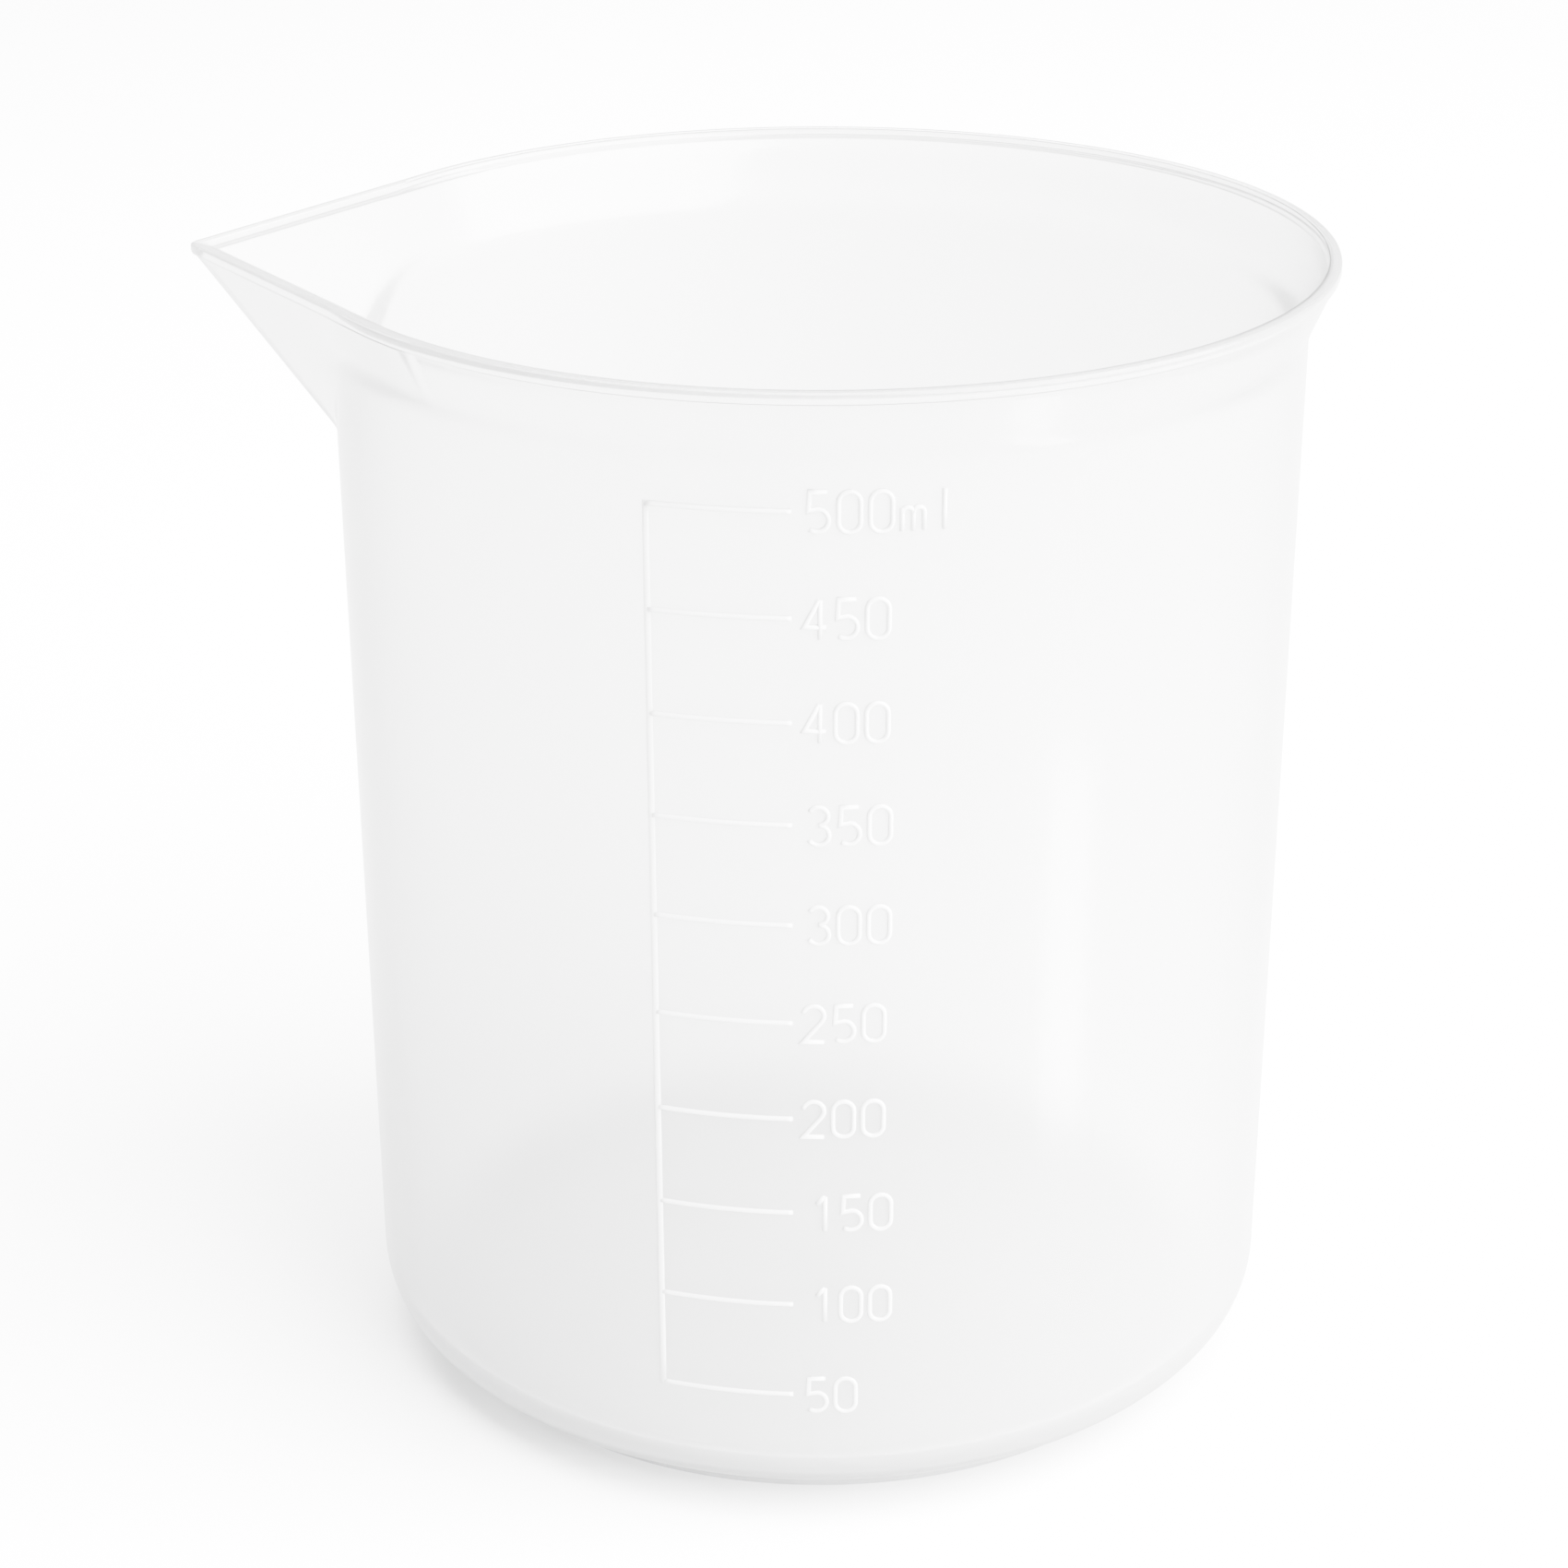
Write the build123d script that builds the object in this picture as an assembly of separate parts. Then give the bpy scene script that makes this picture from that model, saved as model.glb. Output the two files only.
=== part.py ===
from build123d import *

import math
import os

# A moulded plastic laboratory beaker: a foot ring, a flat floor, a rounded heel, a slightly
# tapered wall, a flared mouth with a beaded lip, a drawn-out pouring spout, and a raised
# millilitre scale on the front of the wall.
#
# Frame: millimetres, +Z up, Z = 0 on the table. The beaker's axis is the Z axis, the spout
# points along -X and the scale faces -Y.

# ---------------------------------------------------------------- driving dimensions

# Body
height = 106.2            # table to the top of the lip
base_radius = 42.85       # outside of the wall, carried straight down to the table
wall_draft = 0.35         # degrees that the wall leans outward
wall_thickness = 1.4      # measured level
heel_radius = 6.0         # outside rounding between the wall and the floor
floor_thickness = 2.4
foot_height = 2.0
foot_width = 2.0          # level width of the foot ring

# Mouth
lip_overhang = 3.15       # how far the lip's outside stands beyond the wall's base radius
flare_angle = 23.0        # degrees from the vertical
shoulder_radius = 5.0     # blend from the wall into the flared mouth, outside and inside
mouth_thickness = 1.1     # measured level, where the flare meets the lip
lip_height = 1.0
lip_step = 0.3            # how far the lip stands out beyond the flared mouth
lip_rounding = 0.25

# Spout
spout_overhang = 10.0     # how far the spout's tip stands beyond the lip's outside
spout_depth = 18.2        # top of the lip down to where the keel leaves the wall
spout_tip_radius = 1.2
spout_wall = 0.8          # thickness of the spout's two side walls

# Scale
mark_step = 50            # millilitres from one graduation to the next
mark_count = 10
mark_end = -2.9           # degrees from the front to the graduations' ends, spout side negative
mark_length = 11.6
mark_width = 0.45         # height of each graduation line
rule_width = 0.3
relief = 0.3              # how far the scale stands out from the wall
mark_to_figures = 0.9     # clear space between a graduation and its first figure
figure_height = 3.8
figure_width = 2.2
figure_gap = 0.33         # between the outlines of two neighbouring figures
stroke = 0.42
small_letter_share = 0.62  # height of the small letter m, as a share of a figure's

# Gate mark under the floor
gate_radius = 1.6
gate_depth = 0.5

# ---------------------------------------------------------------- the wall's shape

draft_sin = math.sin(math.radians(wall_draft))
draft_cos = math.cos(math.radians(wall_draft))
flare_sin = math.sin(math.radians(flare_angle))
flare_cos = math.cos(math.radians(flare_angle))


def outer_radius(z):
    """Outside radius of the straight part of the wall at height z."""
    return base_radius + z * draft_sin / draft_cos


def inner_radius(z):
    """Inside radius of the straight part of the wall at height z."""
    return outer_radius(z) - wall_thickness


# Heel: both roundings share a centre height and touch the wall and the floor's two faces.
floor_top = foot_height + floor_thickness
heel_z = foot_height + heel_radius
outer_heel_centre = outer_radius(heel_z) - heel_radius / draft_cos
inner_heel_radius = heel_radius - floor_thickness
inner_heel_centre = inner_radius(heel_z) - inner_heel_radius / draft_cos
floor_edge = min(outer_heel_centre, inner_heel_centre)

# Mouth: the flare ends under the lip, outside and inside.
lip_radius = base_radius + lip_overhang
flare_top_z = height - lip_height
flare_top_r = lip_radius - lip_step
mouth_radius = flare_top_r - mouth_thickness


def shoulder_height(wall_base, top_r):
    """Height where a face of the wall starts its blend into the flare.

    wall_base is the face's radius carried down to the table, and top_r its radius
    where the flare ends.
    """
    blend_rise = shoulder_radius * (flare_sin - draft_sin)
    blend_run = shoulder_radius * (draft_cos - flare_cos)
    rise_per_run = flare_cos / flare_sin
    start = flare_top_z - blend_rise - (top_r - wall_base - blend_run) * rise_per_run
    return start / (1 - rise_per_run * draft_sin / draft_cos)


shoulder_z = shoulder_height(base_radius, flare_top_r)
inner_shoulder_z = shoulder_height(base_radius - wall_thickness, mouth_radius)


def heel_arc(centre_r, radius):
    """Rounding from the floor out to the wall, in the profile plane."""
    return CenterArc((centre_r, heel_z), radius, -90, 90 - wall_draft)


def shoulder_arc(start_r, start_z):
    """Blend that leaves the wall at the shoulder and turns out to the flare's slope."""
    centre = (start_r + shoulder_radius * draft_cos, start_z - shoulder_radius * draft_sin)
    return CenterArc(centre, shoulder_radius, 180 - wall_draft, wall_draft - flare_angle)


def turned(*edges):
    """Solid of revolution about the beaker's axis from a closed (radius, height) outline."""
    return revolve(Plane.XZ * make_face(edges), Axis.Z)


def turned_sector(points, start, end):
    """Polygon outline turned from one angle round the wall to another, front = 0."""
    face = Plane.XZ * make_face(Polyline(*points, close=True))
    return Rot(0, 0, start - 90) * revolve(face, Axis.Z, end - start)


def disc(radius, bottom, top):
    """Solid cylinder on the beaker's axis between two heights."""
    return Pos(0, 0, bottom) * Cylinder(
        radius, top - bottom, align=(Align.CENTER, Align.CENTER, Align.MIN)
    )


def make_outer_form():
    """Everything inside the outside surface, from the floor's underside to the lip's."""
    heel = heel_arc(outer_heel_centre, heel_radius)
    shoulder = shoulder_arc(outer_radius(shoulder_z), shoulder_z)
    return turned(
        heel,
        Line(heel @ 1, shoulder @ 0),
        shoulder,
        Line(shoulder @ 1, (flare_top_r, flare_top_z)),
        Line((flare_top_r, flare_top_z), (0, flare_top_z)),
        Line((0, flare_top_z), (0, foot_height)),
        Line((0, foot_height), heel @ 0),
    )


def make_cavity():
    """The space inside the beaker, from the floor up past the lip."""
    heel = heel_arc(inner_heel_centre, inner_heel_radius)
    shoulder = shoulder_arc(inner_radius(inner_shoulder_z), inner_shoulder_z)
    above = height + lip_height
    return turned(
        heel,
        Line(heel @ 1, shoulder @ 0),
        shoulder,
        Line(shoulder @ 1, (mouth_radius, flare_top_z)),
        Line((mouth_radius, flare_top_z), (mouth_radius, above)),
        Line((mouth_radius, above), (0, above)),
        Line((0, above), (0, floor_top)),
        Line((0, floor_top), heel @ 0),
    )


# ---------------------------------------------------------------- the spout's shape

# In plan the spout's two sides touch the lip's circle and a small circle at the tip.
# Each side then runs straight down to the foot of the keel, on the outside of the wall.
spout_reach = lip_radius + spout_overhang
tip_centre = spout_reach - spout_tip_radius
spout_half_angle = math.degrees(
    math.acos((lip_radius - spout_tip_radius) / tip_centre)
)
side_x = math.cos(math.radians(spout_half_angle))
side_y = math.sin(math.radians(spout_half_angle))
keel_foot_z = height - spout_depth
keel_foot_r = outer_radius(keel_foot_z)
keel_start = 0.02         # share of the spout's rise at which its rounded keel begins
side_slope = side_x * (flare_top_r / side_x - keel_foot_r) / (flare_top_z - keel_foot_z)
channel_shift = spout_wall * math.hypot(1, side_slope) / side_x


def spout_plan(inset, share=1.0, shift=0.0, z=flare_top_z):
    """Level section of the spout out of the lip's circle, drawn in towards the keel's foot.

    inset moves the sides in from the lip's outside, share is how much of the full
    section is left, and shift moves it towards the axis.
    """
    touch = (lip_radius - inset) * Vector(side_x, side_y)
    corner = Vector(tip_centre, 0) + (spout_tip_radius - inset) * Vector(side_x, side_y)
    nose = Vector(spout_reach - inset, 0)
    foot = Vector(keel_foot_r, 0)

    def place(point, side=1):
        drawn = foot + share * (Vector(point.X, side * point.Y) - foot)
        return (drawn.X - shift, drawn.Y)

    edges = [
        Line(place(touch), place(corner)),
        ThreePointArc(place(corner), place(nose), place(corner, -1)),
        Line(place(corner, -1), place(touch, -1)),
        Line(place(touch, -1), place(Vector(0, 0))),
        Line(place(Vector(0, 0)), place(touch)),
    ]
    return Plane(origin=(0, 0, z), z_dir=(0, 0, 1)) * make_face(edges)


def make_spout_cone(shift=0.0):
    """Solid between the spout's sides, from the foot of its keel up to the lip."""
    start_z = keel_foot_z + keel_start * (flare_top_z - keel_foot_z)
    low = spout_plan(lip_step, keel_start, shift, start_z)
    return loft([low, spout_plan(lip_step, 1.0, shift)], ruled=True)


to_spout_side = Rot(0, 0, 180)

# ---------------------------------------------------------------- the moulding's regions

outer_form = make_outer_form()
cavity = make_cavity()
shell = outer_form - cavity
spout_form = to_spout_side * make_spout_cone()
channel = to_spout_side * make_spout_cone(channel_shift)


def make_foot_ring():
    inner = outer_heel_centre - foot_width
    return disc(outer_heel_centre, 0, foot_height) - disc(inner, 0, foot_height)


def make_floor():
    return disc(floor_edge, foot_height, floor_top)


def make_heel():
    return shell & disc(lip_radius, foot_height, heel_z) - make_floor()


def make_body_wall():
    return shell & disc(lip_radius, heel_z, shoulder_z) - spout_form


def make_flared_mouth():
    return shell & disc(lip_radius, shoulder_z, flare_top_z) - spout_form


def make_spout():
    return spout_form - channel - cavity


def make_rim_lip():
    section = Plane.XZ * make_face(
        Polyline(
            (mouth_radius, flare_top_z),
            (lip_radius, flare_top_z),
            (lip_radius, height),
            (mouth_radius, height),
            close=True,
        )
    )
    section = fillet(section.vertices().sort_by(Axis.X)[-2:], lip_rounding)
    ring = revolve(section, Axis.Z, 360 - 2 * spout_half_angle)
    return Rot(0, 0, 180 + spout_half_angle) * ring


def make_spout_lip():
    band = extrude(spout_plan(0), lip_height)
    sides = band.edges().filter_by(Axis.Z, reverse=True).filter_by(on_spout_edge)
    band = fillet(sides, lip_rounding)
    band -= extrude(spout_plan(lip_step, shift=channel_shift), lip_height)
    return to_spout_side * band - cavity


def on_spout_edge(edge):
    """True for the lip's outer edges round the spout, false for those inside the mouth."""
    middle = edge @ 0.5
    return middle.X * side_x + abs(middle.Y) * side_y > lip_radius - lip_step


def make_gate_mark():
    return disc(gate_radius, foot_height - gate_depth, foot_height)


# ---------------------------------------------------------------- the scale

# Angles round the wall, in degrees from the front.
mark_start = mark_end - math.degrees(mark_length / base_radius)
figure_start = mark_end + math.degrees(mark_to_figures / base_radius)
figure_skin = math.degrees(10 * figure_width / base_radius)


def volume_below(z):
    """Millilitres that the beaker holds up to height z, on the straight wall."""
    r = inner_heel_centre
    a = inner_heel_radius
    heel = math.pi * (r * r * a + r * math.pi * a * a / 2 + 2 * a**3 / 3)
    low = inner_radius(heel_z)
    high = inner_radius(z)
    body = math.pi * (z - heel_z) * (low * low + low * high + high * high) / 3
    return (heel + body) / 1000


def fill_height(millilitres):
    """Height of the surface when the beaker holds this much."""
    low = heel_z
    high = height
    for _ in range(50):
        middle = (low + high) / 2
        if volume_below(middle) < millilitres:
            low = middle
        else:
            high = middle
    return low


def wall_strip(bottom, top):
    """Outline of a strip that stands on the outside of the wall."""
    return [
        (outer_radius(bottom), bottom),
        (outer_radius(bottom) + relief, bottom),
        (outer_radius(top) + relief, top),
        (outer_radius(top), top),
    ]


def make_graduation(z):
    strip = wall_strip(z - mark_width / 2, z + mark_width / 2)
    return turned_sector(strip, mark_start, mark_end)


def make_scale_rule(lowest, highest):
    strip = wall_strip(lowest - mark_width / 2, highest + mark_width / 2)
    width = math.degrees(rule_width / base_radius)
    return turned_sector(strip, mark_start - width, mark_start)


# The figures are drawn in strokes, in a box from (0, 0) to (box_x, box_y) along their
# centre lines.
box_x = figure_width - stroke
box_y = figure_height - stroke
bowl = box_x / 2


def draw_0():
    outside = SlotOverall(figure_height, figure_width, rotation=90)
    inside = SlotOverall(figure_height - 2 * stroke, figure_width - 2 * stroke, rotation=90)
    return Pos(box_x / 2, box_y / 2) * (outside - inside)


def draw_stem(x, top=box_y):
    """Upright stroke, carried half a stroke past the box so that it ends level with the rest."""
    return trace(Line((x, -stroke / 2), (x, top + stroke / 2)), stroke)


def draw_1():
    stem_x = 0.65 * box_x
    flag = Line((stem_x - 0.4 * box_x, 0.76 * box_y), (stem_x, box_y))
    return draw_stem(stem_x) + trace(flag, stroke)


def draw_2():
    top = CenterArc((bowl, box_y - bowl), bowl, 165, -200)
    return trace(top, stroke) + trace(Polyline(top @ 1, (0, 0), (box_x, 0)), stroke)


def draw_3():
    upper = (box_y - 2 * bowl) / 2
    top = CenterArc((bowl, box_y - upper), upper, 150, -240)
    bottom = CenterArc((bowl, bowl), bowl, 90, -240)
    return trace(top, stroke) + trace(bottom, stroke)


def draw_4():
    bar_y = 0.3 * box_y
    stem_x = 0.72 * box_x
    sail = Polyline((stem_x, box_y), (0, bar_y), (box_x, bar_y))
    return trace(sail, stroke) + draw_stem(stem_x)


def draw_5():
    waist = (0.08 * box_x, 0.52 * box_y)
    head = Polyline((0.92 * box_x, box_y), (0.14 * box_x, box_y), waist)
    belly = ThreePointArc(waist, (box_x, 0.3 * box_y), (0, 0.07 * box_y))
    return trace(head, stroke) + trace(belly, stroke)


def draw_m():
    x_height = small_letter_share * figure_height - stroke
    arch = box_x / 4
    letter = draw_stem(0, x_height)
    for side in (arch, 3 * arch):
        letter += trace(CenterArc((side, x_height - arch), arch, 180, -180), stroke)
        letter += draw_stem(side + arch, x_height - arch - stroke / 2)
    return letter


def draw_l():
    return draw_stem(0.5 * box_x)


DRAWINGS = {
    "0": draw_0,
    "1": draw_1,
    "2": draw_2,
    "3": draw_3,
    "4": draw_4,
    "5": draw_5,
    "m": draw_m,
    "l": draw_l,
}


def make_figures(text, z):
    """Raised figures on the wall, centred on height z, as one solid for each figure."""
    strip = wall_strip(z - figure_height, z + figure_height)
    skin = turned_sector(strip, mark_end, mark_end + figure_skin)
    radius = outer_radius(z)
    pitch = figure_width + figure_gap
    solids = []
    for place, sign in enumerate(text):
        across = place * pitch + figure_width / 2
        angle = math.radians(figure_start) + across / radius
        outward = Vector(math.sin(angle), -math.cos(angle), 0)
        plane = Plane(
            origin=outward * radius + Vector(0, 0, z),
            x_dir=(math.cos(angle), math.sin(angle), 0),
            z_dir=outward,
        )
        drawing = Pos(-box_x / 2, -box_y / 2) * DRAWINGS[sign]()
        solids += (extrude(plane * drawing, 3 * relief, both=True) & skin).solids()
    return Compound(children=solids)


# ---------------------------------------------------------------- nodes

nodes = {
    "foot_ring": make_foot_ring(),
    "floor": make_floor(),
    "gate_mark": make_gate_mark(),
    "heel": make_heel(),
    "body_wall": make_body_wall(),
    "flared_mouth": make_flared_mouth(),
    "rim_lip": make_rim_lip(),
    "spout": make_spout(),
    "spout_lip": make_spout_lip(),
}

marks = [mark_step * (index + 1) for index in range(mark_count)]
nodes["scale_rule"] = make_scale_rule(fill_height(marks[0]), fill_height(marks[-1]))
for mark in marks:
    unit = "ml" if mark == marks[-1] else ""
    nodes[f"graduation_{mark:03d}"] = make_graduation(fill_height(mark))
    nodes[f"figures_{mark:03d}"] = make_figures(f"{mark}{unit}", fill_height(mark))

os.makedirs("parts", exist_ok=True)
for name, shape in nodes.items():
    export_step(shape, f"parts/{name}.step")
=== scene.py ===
import math

import bmesh
import bpy
from mathutils import Matrix, Vector


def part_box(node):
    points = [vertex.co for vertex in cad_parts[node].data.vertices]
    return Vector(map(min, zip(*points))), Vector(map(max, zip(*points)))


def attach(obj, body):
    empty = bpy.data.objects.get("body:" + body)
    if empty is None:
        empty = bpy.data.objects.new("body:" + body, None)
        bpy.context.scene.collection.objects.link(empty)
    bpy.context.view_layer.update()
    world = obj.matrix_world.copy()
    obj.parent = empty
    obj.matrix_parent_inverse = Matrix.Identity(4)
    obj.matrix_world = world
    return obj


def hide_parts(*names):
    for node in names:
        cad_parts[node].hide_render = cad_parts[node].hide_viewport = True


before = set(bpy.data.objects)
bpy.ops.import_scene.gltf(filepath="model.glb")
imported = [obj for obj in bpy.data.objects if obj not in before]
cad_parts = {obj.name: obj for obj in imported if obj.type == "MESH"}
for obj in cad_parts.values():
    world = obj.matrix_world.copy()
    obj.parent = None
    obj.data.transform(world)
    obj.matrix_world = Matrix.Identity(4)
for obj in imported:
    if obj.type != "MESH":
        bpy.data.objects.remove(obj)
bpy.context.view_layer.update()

MM = 0.001

# ---------------------------------------------------------------- camera
# A long lens in front of the beaker, looking down on its far rim, with the spout to the left
# and the scale facing it.
look_down = 23.25
pan = 0.61
lean = -0.15
camera_data = bpy.data.cameras.new("camera")
camera_data.lens = 81.6
camera_data.sensor_width = 36.0
camera_data.clip_start = 0.01
camera = bpy.data.objects.new("camera", camera_data)
bpy.context.scene.collection.objects.link(camera)
turn = Matrix.Rotation(math.radians(pan), 4, "Z")
tilt = Matrix.Rotation(math.radians(90 - look_down), 4, "X")
roll = Matrix.Rotation(math.radians(lean), 4, "Z")
camera.matrix_world = Matrix.Translation((0, -0.3091, 0.1866)) @ turn @ tilt @ roll
bpy.context.scene.camera = camera

# ---------------------------------------------------------------- studio
# A level white painted board under soft light that is much stronger from the right, with
# large lamps above and to the right, and a small one low down that gives the wall's highlight.
floor_size = 6.0
left_strength = 0.3
right_strength = 6.0
bm = bmesh.new()
bmesh.ops.create_grid(bm, x_segments=8, y_segments=8, size=floor_size / 2)
floor_mesh = bpy.data.meshes.new("studio_floor")
bm.to_mesh(floor_mesh)
bm.free()
studio_floor = bpy.data.objects.new("studio_floor", floor_mesh)
bpy.context.scene.collection.objects.link(studio_floor)

board = bpy.data.materials.new("white_board")
board.use_nodes = True
nodes, links = board.node_tree.nodes, board.node_tree.links
shader = nodes["Principled BSDF"]
shader.inputs["Roughness"].default_value = 0.9
shader.inputs["Specular IOR Level"].default_value = 0.1
place = nodes.new("ShaderNodeTexCoord")
mottle = nodes.new("ShaderNodeTexNoise")
mottle.inputs["Scale"].default_value = 3.0
tint = nodes.new("ShaderNodeValToRGB")
tint.color_ramp.elements[0].color = (0.90, 0.90, 0.90, 1)
tint.color_ramp.elements[1].color = (0.94, 0.94, 0.94, 1)
links.new(place.outputs["Object"], mottle.inputs["Vector"])
links.new(mottle.outputs["Fac"], tint.inputs["Fac"])
links.new(tint.outputs["Color"], shader.inputs["Base Color"])
floor_mesh.materials.append(board)

world = bpy.data.worlds.new("studio_light")
world.use_nodes = True
nodes, links = world.node_tree.nodes, world.node_tree.links
place = nodes.new("ShaderNodeTexCoord")
split = nodes.new("ShaderNodeSeparateXYZ")
links.new(place.outputs["Generated"], split.inputs["Vector"])
falloff = nodes.new("ShaderNodeMapRange")
falloff.interpolation_type = "SMOOTHSTEP"
falloff.inputs["From Min"].default_value = -0.9
falloff.inputs["From Max"].default_value = 0.9
falloff.inputs["To Min"].default_value = left_strength
falloff.inputs["To Max"].default_value = right_strength
links.new(split.outputs["X"], falloff.inputs["Value"])
links.new(falloff.outputs["Result"], nodes["Background"].inputs["Strength"])
bpy.context.scene.world = world


def add_softbox(name, position, target, width, height, power):
    """Rectangular lamp at position, facing target, that lights but isn't seen itself."""
    lamp = bpy.data.lights.new(name, "AREA")
    lamp.shape = "RECTANGLE"
    lamp.size = width
    lamp.size_y = height
    lamp.energy = power
    softbox = bpy.data.objects.new(name, lamp)
    aim = Vector(target) - Vector(position)
    softbox.rotation_euler = aim.to_track_quat("-Z", "Y").to_euler()
    softbox.location = position
    softbox.visible_camera = False
    bpy.context.scene.collection.objects.link(softbox)


add_softbox("top_softbox", (0.1, 0.1, 1.3), (0, 0, 0), 1.6, 1.6, 260)
add_softbox("key_softbox", (1.10, -0.55, 0.70), (0, 0, 0.05), 1.9, 1.9, 640)
add_softbox("strip_light", (0.080, -0.068, 0.020), (0.021, -0.037, 0.03), 0.018, 0.045, 0.14)

# ---------------------------------------------------------------- the moulding
# One shell of translucent natural polypropylene, injection moulded through a gate under the
# floor: foot ring, floor, heel, wall, flared mouth, beaded lip and drawn-out spout.
wall_thickness = 1.4 * MM
mouth_thickness = 1.1 * MM
foot_width = 2.0 * MM
shoulder_radius = 5.0 * MM
flare_slope = math.tan(math.radians(23.0))
lip_rounding = 0.28 * MM
lip_under_rounding = 0.1 * MM
mouth_rounding = 0.3 * MM
foot_rounding = 0.35 * MM
foot_inner_rounding = 0.3 * MM
foot_outer_rounding = 0.25 * MM
gate_rounding = 0.15 * MM
spout_tip_radius = 1.2 * MM
spout_wall = 0.8 * MM
spout_crease = 0.9 * MM
crease_reach = 1.2
no_blend = 1e-9
weld = 1e-6
eighth_steps = 64
fine_step = 0.6 * MM

foot_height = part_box("foot_ring")[1].z
foot_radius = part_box("foot_ring")[1].y
floor_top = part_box("floor")[1].z
gate_low, gate_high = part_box("gate_mark")
heel_z, heel_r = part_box("heel")[1].z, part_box("heel")[1].y
shoulder_z, shoulder_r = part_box("body_wall")[1].z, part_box("body_wall")[1].y
flare_top_z, flare_top_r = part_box("flared_mouth")[1].z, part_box("flared_mouth")[1].y
lip_top_z, lip_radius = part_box("rim_lip")[1].z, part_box("rim_lip")[1].y
spout_reach = -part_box("spout_lip")[0].x
keel_foot_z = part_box("spout")[0].z

wall_slope = (shoulder_r - heel_r) / (shoulder_z - heel_z)
heel_radius = heel_z - foot_height
mouth_radius = flare_top_r - mouth_thickness


def wall_outside(z):
    """Radius of the straight wall's outside at height z."""
    return heel_r + (z - heel_z) * wall_slope


def flare_corner(end_r, start_r):
    """Where the flare's slope, run down from the lip, meets the straight wall."""
    rise = (end_r - start_r - flare_top_z * flare_slope) / (wall_slope - flare_slope)
    return (start_r + rise * wall_slope, rise)


def rounded(corners, step):
    """Polyline through (radius, height, rounding) corners, with each rounding as an arc."""
    points = []
    for index, (x, y, rounding) in enumerate(corners):
        here = Vector((x, y))
        if rounding == 0:
            points.append(here)
            continue
        back = (Vector(corners[index - 1][:2]) - here).normalized()
        ahead = (Vector(corners[index + 1][:2]) - here).normalized()
        half = back.angle(ahead) / 2
        centre = here + (back + ahead).normalized() * rounding / math.sin(half)
        start = here + back * rounding / math.tan(half) - centre
        sweep = math.pi - 2 * half
        side = math.copysign(1, start.x * ahead.y - start.y * ahead.x)
        count = max(3, math.ceil(rounding * sweep / step))
        for k in range(count + 1):
            turned = start.copy()
            turned.rotate(Matrix.Rotation(side * sweep * k / count, 2))
            points.append(centre + turned)
    return points


base_r = wall_outside(0)
plain_top = keel_foot_z - spout_crease
outer_bend = flare_corner(flare_top_r, base_r)
inner_bend = flare_corner(mouth_radius, base_r - wall_thickness)
profile = rounded(
    [
        (0, gate_low.z, 0),
        (gate_high.y, gate_low.z, gate_rounding),
        (gate_high.y, foot_height, gate_rounding),
        (foot_radius - foot_width, foot_height, foot_inner_rounding),
        (foot_radius - foot_width, 0, foot_rounding),
        (foot_radius, 0, foot_rounding),
        (foot_radius, foot_height, foot_outer_rounding),
        (wall_outside(foot_height), foot_height, heel_radius),
        (wall_outside(plain_top), plain_top, 0),
        (*outer_bend, shoulder_radius),
        (flare_top_r, flare_top_z, lip_under_rounding),
        (lip_radius, flare_top_z, lip_rounding),
        (lip_radius, lip_top_z, lip_rounding),
        (mouth_radius, lip_top_z, lip_rounding),
        (mouth_radius, flare_top_z, mouth_rounding),
        (*inner_bend, shoulder_radius),
        (wall_outside(plain_top) - wall_thickness, plain_top, 0),
        (wall_outside(floor_top) - wall_thickness, floor_top, heel_z - floor_top),
        (0, floor_top, 0),
    ],
    fine_step,
)


def refined(points):
    """The profile with its spout heights cut into short rows, and which points are inside.

    The test stands one row low, so that rounding can't drop the row at plain_top.
    """
    top = points.index(max(points, key=lambda point: point.y))
    result = []
    for index, here in enumerate(points):
        result.append((here, index > top + 1))
        if index + 1 == len(points):
            break
        ahead = points[index + 1]
        if min(here.y, ahead.y) < plain_top - fine_step:
            continue
        count = math.ceil((ahead - here).length / fine_step)
        for k in range(1, count):
            result.append((here.lerp(ahead, k / count), index > top + 1))
    return result


spout_tip_x = spout_reach - spout_tip_radius
spout_half = math.acos((lip_radius - spout_tip_radius) / spout_tip_x)
side_x, side_y = math.cos(spout_half), math.sin(spout_half)
keel_foot_r = wall_outside(keel_foot_z)
side_foot = side_x * keel_foot_r
side_slope = (flare_top_r - side_foot) / (flare_top_z - keel_foot_z)
channel_shift = spout_wall * math.hypot(1, side_slope) / side_x
lip_step = lip_radius - flare_top_r


def spout_radius(angle, z, r, inside):
    """Distance from the axis of the spout's surface, at an angle from its middle."""
    rise = min(1, (z - keel_foot_z) / (flare_top_z - keel_foot_z))
    if rise <= 0:
        return 0
    shift = channel_shift if inside else 0
    side = side_foot + rise * (flare_top_r - side_foot) - side_x * shift
    nose_x = keel_foot_r + rise * (spout_tip_x - keel_foot_r) - shift
    nose = rise * (spout_tip_radius - lip_step)
    if z >= flare_top_z and not inside:
        side = r
        nose = spout_tip_radius - lip_radius + r
    if angle < math.atan2(nose * side_y, nose_x + nose * side_x):
        across = nose_x * math.sin(angle)
        return nose_x * math.cos(angle) + math.sqrt(max(0, nose * nose - across * across))
    return side / math.cos(max(0, spout_half - angle))


def soft_max(a, b, blend):
    """The larger of two radii, with a rounded crease where they cross."""
    gap = max(0, 1 - abs(a - b) / blend)
    return max(a, b) + gap * gap * blend / 4


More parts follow.
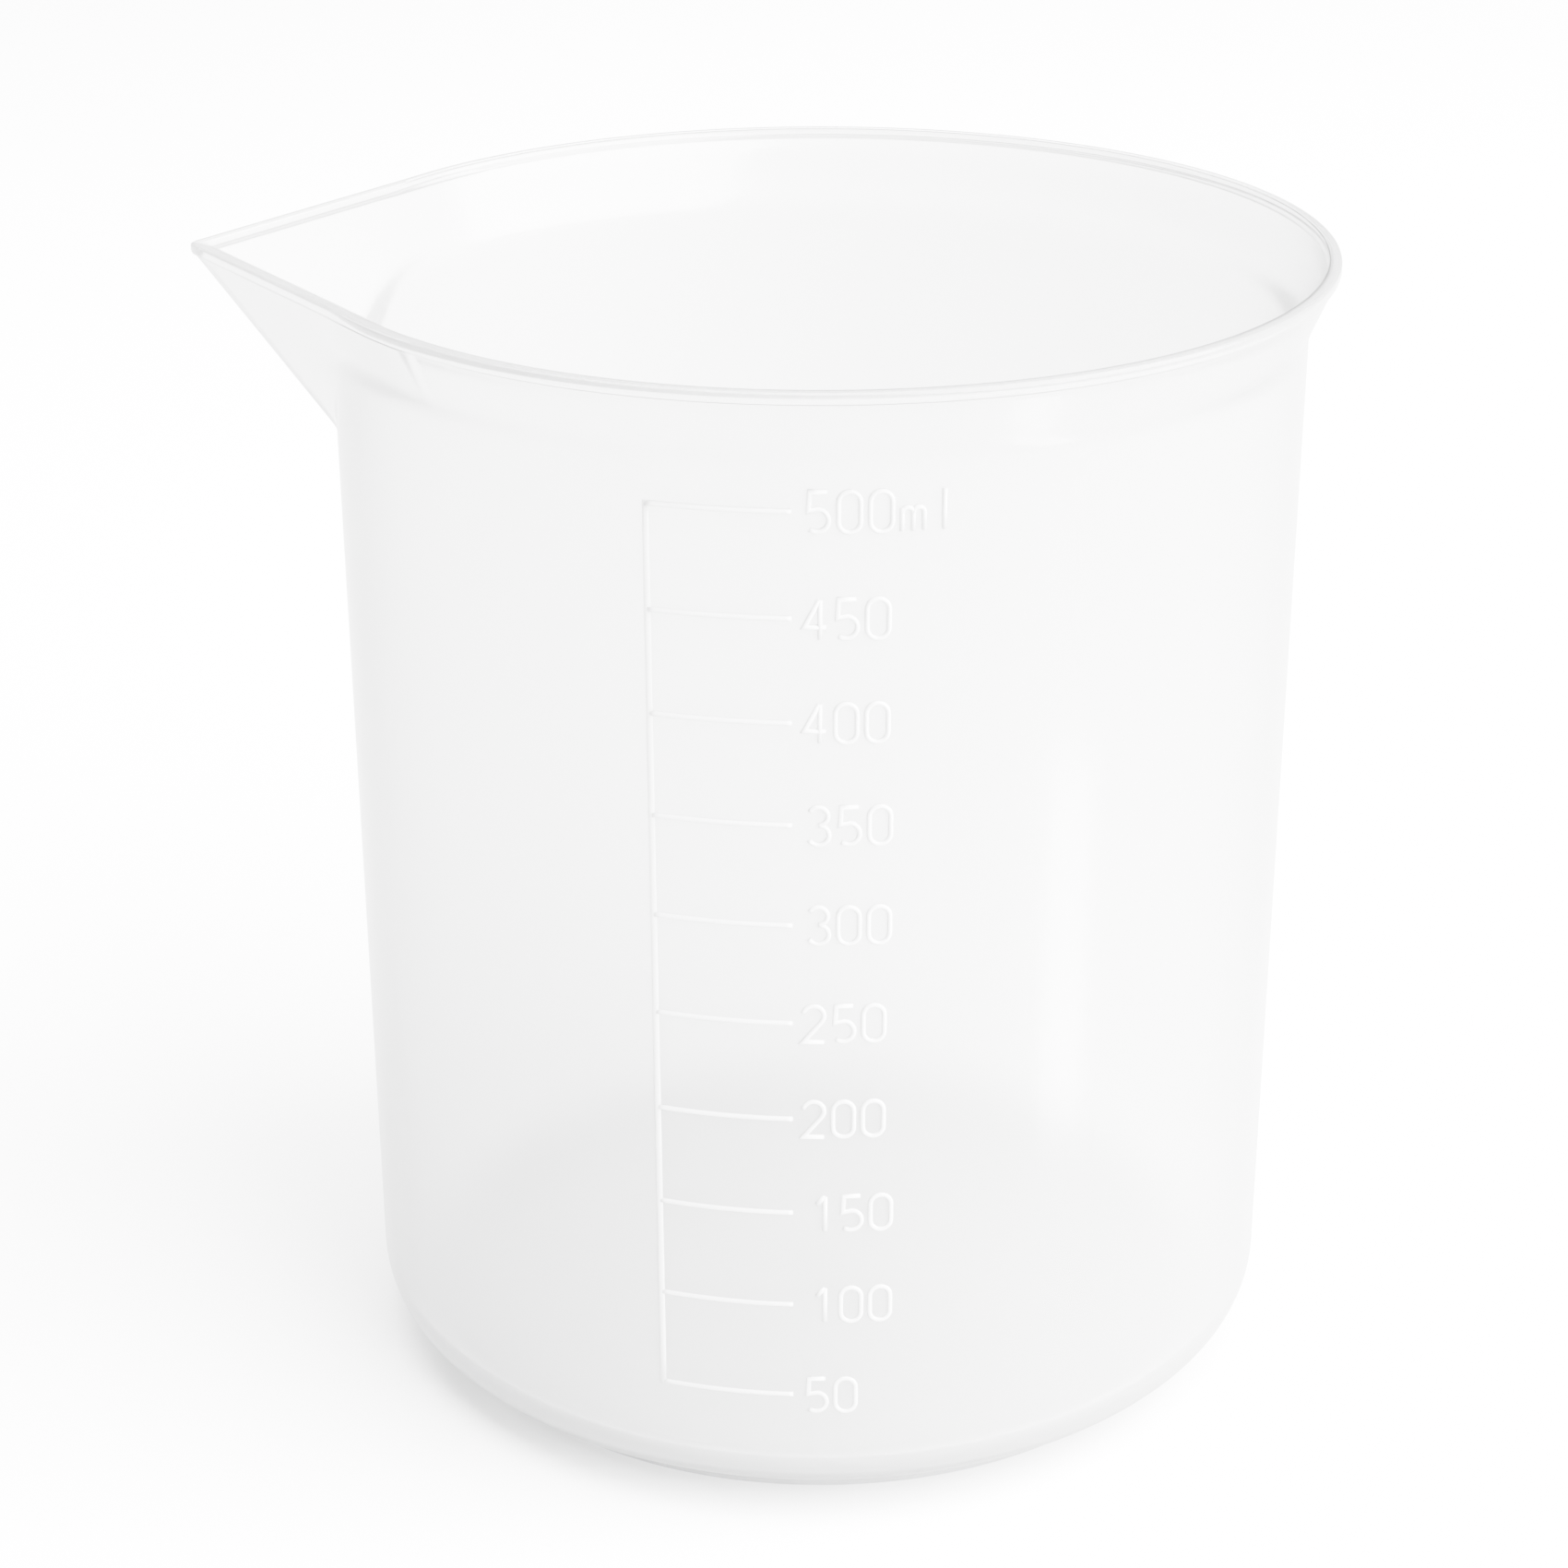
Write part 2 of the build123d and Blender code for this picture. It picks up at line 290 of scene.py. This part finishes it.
bm = bmesh.new()
is_inside = bm.verts.layers.float.new("inside")
line = []
for point, inside in refined(profile):
    vert = bm.verts.new((point.x, 0, point.y))
    vert[is_inside] = 1.0 if inside else 0.0
    line.append(vert)
edges = [bm.edges.new(pair) for pair in zip(line, line[1:])]
bmesh.ops.spin(
    bm,
    geom=line + edges,
    cent=(0, 0, 0),
    axis=(0, 0, 1),
    angle=math.pi / 4,
    steps=eighth_steps,
)
for share in (math.pi / 4, math.pi / 2, math.pi):
    copy = bmesh.ops.duplicate(bm, geom=[*bm.verts, *bm.edges, *bm.faces])
    bmesh.ops.rotate(
        bm,
        verts=[item for item in copy["geom"] if isinstance(item, bmesh.types.BMVert)],
        matrix=Matrix.Rotation(share, 3, "Z"),
    )
bmesh.ops.remove_doubles(bm, verts=bm.verts, dist=weld)
bmesh.ops.recalc_face_normals(bm, faces=bm.faces)
for vert in bm.verts:
    r = math.hypot(vert.co.x, vert.co.y)
    if vert.co.z < keel_foot_z or r < side_foot:
        continue
    angle = abs(math.atan2(vert.co.y, -vert.co.x))
    reach = spout_radius(angle, vert.co.z, r, vert[is_inside] > 0.5)
    blend = lip_step / 2 if vert.co.z >= flare_top_z else spout_crease
    vert.co.xy *= soft_max(r, reach, blend if angle < crease_reach * spout_half else no_blend) / r
bm.verts.layers.float.remove(is_inside)
for face in bm.faces:
    face.smooth = True
moulding_mesh = bpy.data.meshes.new("beaker_moulding")
bm.to_mesh(moulding_mesh)
bm.free()
moulding = bpy.data.objects.new("beaker_moulding", moulding_mesh)
bpy.context.scene.collection.objects.link(moulding)


# Mould grain and flow haze of the polypropylene: a faint tint, a roughness and a height.
haze_scale = 35
grain_scale = 900
least_roughness = 0.14
most_roughness = 0.24
grain_group = bpy.data.node_groups.new("mould_grain", "ShaderNodeTree")
out = grain_group.nodes.new("NodeGroupOutput")
for socket, kind in (("Tint", "NodeSocketColor"), ("Roughness", "NodeSocketFloat"),
                     ("Height", "NodeSocketFloat")):
    grain_group.interface.new_socket(socket, in_out="OUTPUT", socket_type=kind)
nodes, links = grain_group.nodes, grain_group.links
place = nodes.new("ShaderNodeTexCoord")
haze = nodes.new("ShaderNodeTexNoise")
haze.inputs["Scale"].default_value = haze_scale
haze.inputs["Detail"].default_value = 4
links.new(place.outputs["Object"], haze.inputs["Vector"])
tint = nodes.new("ShaderNodeValToRGB")
tint.color_ramp.elements[0].position = 0.3
tint.color_ramp.elements[0].color = (0.955, 0.957, 0.955, 1)
tint.color_ramp.elements[1].position = 0.7
tint.color_ramp.elements[1].color = (0.985, 0.986, 0.985, 1)
links.new(haze.outputs["Fac"], tint.inputs["Fac"])
links.new(tint.outputs["Color"], out.inputs["Tint"])
gloss = nodes.new("ShaderNodeMapRange")
gloss.inputs["To Min"].default_value = least_roughness
gloss.inputs["To Max"].default_value = most_roughness
links.new(haze.outputs["Fac"], gloss.inputs["Value"])
links.new(gloss.outputs["Result"], out.inputs["Roughness"])
grain = nodes.new("ShaderNodeTexNoise")
grain.inputs["Scale"].default_value = grain_scale
grain.inputs["Detail"].default_value = 2
links.new(place.outputs["Object"], grain.inputs["Vector"])
links.new(grain.outputs["Fac"], out.inputs["Height"])


refraction = 1.49
milk_colour = (0.2, 0.21, 0.22, 1)
milk_density = 30
grain_depth = 0.05 * MM
body_clearness = 0.8


def translucent_plastic(name, clearness):
    """Natural polypropylene finish; clearness is the share of light let straight through."""
    finish = bpy.data.materials.new(name)
    finish.use_nodes = True
    nodes, links = finish.node_tree.nodes, finish.node_tree.links
    shader = nodes["Principled BSDF"]
    shader.inputs["IOR"].default_value = refraction
    shader.inputs["Specular IOR Level"].default_value = 0.4
    shader.inputs["Transmission Weight"].default_value = clearness
    milk = nodes.new("ShaderNodeVolumeAbsorption")
    milk.inputs["Color"].default_value = milk_colour
    milk.inputs["Density"].default_value = milk_density
    links.new(milk.outputs["Volume"], nodes["Material Output"].inputs["Volume"])
    effect = nodes.new("ShaderNodeGroup")
    effect.node_tree = grain_group
    bump = nodes.new("ShaderNodeBump")
    bump.inputs["Strength"].default_value = 0.12
    bump.inputs["Distance"].default_value = grain_depth
    links.new(effect.outputs["Tint"], shader.inputs["Base Color"])
    links.new(effect.outputs["Roughness"], shader.inputs["Roughness"])
    links.new(effect.outputs["Height"], bump.inputs["Height"])
    links.new(bump.outputs["Normal"], shader.inputs["Normal"])
    return finish


moulding_mesh.materials.append(translucent_plastic("body_polypropylene", body_clearness))
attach(moulding, "root")
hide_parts("foot_ring", "floor", "gate_mark", "heel", "body_wall",
            "flared_mouth", "rim_lip", "spout", "spout_lip")

# ---------------------------------------------------------------- the scale
# Graduations, rule and figures, moulded in one with the wall and standing out from it as
# thin rounded beads, which stand out less toward the bottom.
stroke = 0.42 * MM
relief = 0.3 * MM
low_relief = 0.35
figure_height = 3.8 * MM
figure_width = 2.2 * MM
figure_gap = 0.33 * MM
small_letter_share = 0.62
sunk = 0.03 * MM
bead_steps = 9
arc_steps = 16
line_steps = 24
scale_clearness = 0.35
scale_finish = translucent_plastic("scale_polypropylene", scale_clearness)


def bead_section(width, height):
    """Closed outline of a bead: a low half ellipse with its base just under the wall's face."""
    section = bpy.data.curves.new("bead_section", "CURVE")
    section.dimensions = "2D"
    outline = section.splines.new("POLY")
    outline.points.add(bead_steps)
    for k, point in enumerate(outline.points):
        angle = math.pi * k / bead_steps
        rise = -sunk if k in (0, bead_steps) else height * math.sin(angle)
        point.co = (math.cos(angle) * width / 2, rise, 0, 1)
    outline.use_cyclic_u = True
    return bpy.data.objects.new("bead_section", section)


def raise_beads(node, strokes, width, left, level):
    """Beads on the wall in place of a CAD node, from strokes drawn flat.

    Each stroke is a list of points and whether it closes; left and level place the
    drawing's corner, as an angle round the wall from the front and a height.
    """
    wear = low_relief + (1 - low_relief) * level / lip_top_z
    section = bead_section(width, relief * wear)
    curve = bpy.data.curves.new(node, "CURVE")
    curve.dimensions = "2D"
    curve.fill_mode = "NONE"
    curve.bevel_mode = "OBJECT"
    curve.bevel_object = section
    curve.use_fill_caps = True
    for points, closed in strokes:
        spline = curve.splines.new("POLY")
        spline.points.add(len(points) - 1)
        for place, point in zip(spline.points, points):
            place.co = (*point, 0, 1)
        spline.use_cyclic_u = closed
    drawing = bpy.data.objects.new(node, curve)
    bpy.context.scene.collection.objects.link(drawing)
    ready = bpy.context.evaluated_depsgraph_get()
    flat = bpy.data.meshes.new_from_object(drawing.evaluated_get(ready))
    bpy.data.objects.remove(drawing)
    bpy.data.objects.remove(section)
    bm = bmesh.new()
    bm.from_mesh(flat)
    bpy.data.meshes.remove(flat)
    bmesh.ops.remove_doubles(bm, verts=bm.verts, dist=weld)
    bmesh.ops.recalc_face_normals(bm, faces=bm.faces)
    for vert in bm.verts:
        z = level + vert.co.y
        angle = left + vert.co.x / wall_outside(z)
        r = wall_outside(z) + vert.co.z
        vert.co = (r * math.sin(angle), -r * math.cos(angle), z)
    for face in bm.faces:
        face.smooth = len(face.verts) == 4
    mesh = bpy.data.meshes.new(node + "_beads")
    bm.to_mesh(mesh)
    bm.free()
    mesh.materials.append(scale_finish)
    beads = bpy.data.objects.new(node + "_beads", mesh)
    bpy.context.scene.collection.objects.link(beads)
    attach(beads, "root")
    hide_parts(node)


def sweep(x, y, r, start, turn):
    """Points along an arc, with its angles in degrees."""
    angles = [math.radians(start + turn * k / arc_steps) for k in range(arc_steps + 1)]
    return [(x + r * math.cos(angle), y + r * math.sin(angle)) for angle in angles]


box_x = figure_width - stroke
box_y = figure_height - stroke
bowl = box_x / 2
upper = (box_y - box_x) / 2
arch = box_x / 4
x_height = small_letter_share * figure_height - stroke
FIGURES = {
    "0": [(sweep(bowl, box_y - bowl, bowl, 0, 180) + sweep(bowl, bowl, bowl, 180, 180), True)],
    "1": [
        ([(0.65 * box_x, 0), (0.65 * box_x, box_y)], False),
        ([(0.25 * box_x, 0.76 * box_y), (0.65 * box_x, box_y)], False),
    ],
    "2": [(sweep(bowl, box_y - bowl, bowl, 165, -200) + [(0, 0), (box_x, 0)], False)],
    "3": [
        (sweep(bowl, box_y - upper, upper, 150, -240), False),
        (sweep(bowl, bowl, bowl, 90, -240), False),
    ],
    "4": [
        ([(0.72 * box_x, box_y), (0, 0.3 * box_y), (box_x, 0.3 * box_y)], False),
        ([(0.72 * box_x, 0), (0.72 * box_x, box_y)], False),
    ],
    "5": [
        (
            [(0.92 * box_x, box_y), (0.14 * box_x, box_y), (0.08 * box_x, 0.52 * box_y)]
            + sweep(0.46 * box_x, 0.3 * box_y, 0.54 * box_x, 120, -330)[2:13],
            False,
        )
    ],
    "m": [
        ([(0, 0), (0, x_height)], False),
        (sweep(arch, x_height - arch, arch, 180, -180) + [(2 * arch, 0)], False),
        (sweep(3 * arch, x_height - arch, arch, 180, -180) + [(4 * arch, 0)], False),
    ],
    "l": [([(0.5 * box_x, 0), (0.5 * box_x, box_y)], False)],
}


def angles_across(node):
    """A scale node's left and right edges, as angles round the wall from the front."""
    low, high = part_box(node)
    r = wall_outside((low.z + high.z) / 2) + relief
    return math.asin(low.x / r), math.asin(high.x / r)


rule_low, rule_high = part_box("scale_rule")
rule_left, rule_right = angles_across("scale_rule")
rule_width = (rule_right - rule_left) * wall_outside(rule_low.z)
rise = (rule_high.z - rule_low.z) / line_steps
raise_beads(
    "scale_rule",
    [([(rule_width / 2, k * rise) for k in range(line_steps + 1)], False)],
    rule_width,
    rule_left,
    rule_low.z,
)

for mark in range(50, 501, 50):
    node = f"graduation_{mark:03d}"
    low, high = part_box(node)
    left, right = angles_across(node)
    length = (right - left) * wall_outside(low.z)
    middle = (high.z - low.z) / 2
    line = [(length * k / line_steps, middle) for k in range(line_steps + 1)]
    raise_beads(node, [(line, False)], high.z - low.z, left, low.z)

    node = f"figures_{mark:03d}"
    low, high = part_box(node)
    left = angles_across(node)[0]
    level = (low.z + high.z - box_y) / 2
    strokes = []
    for place, sign in enumerate(f"{mark}ml" if mark == 500 else str(mark)):
        shift = place * (figure_width + figure_gap) + stroke / 2
        for points, closed in FIGURES[sign]:
            strokes.append(([(x + shift, y) for x, y in points], closed))
    raise_beads(node, strokes, stroke, left, level)
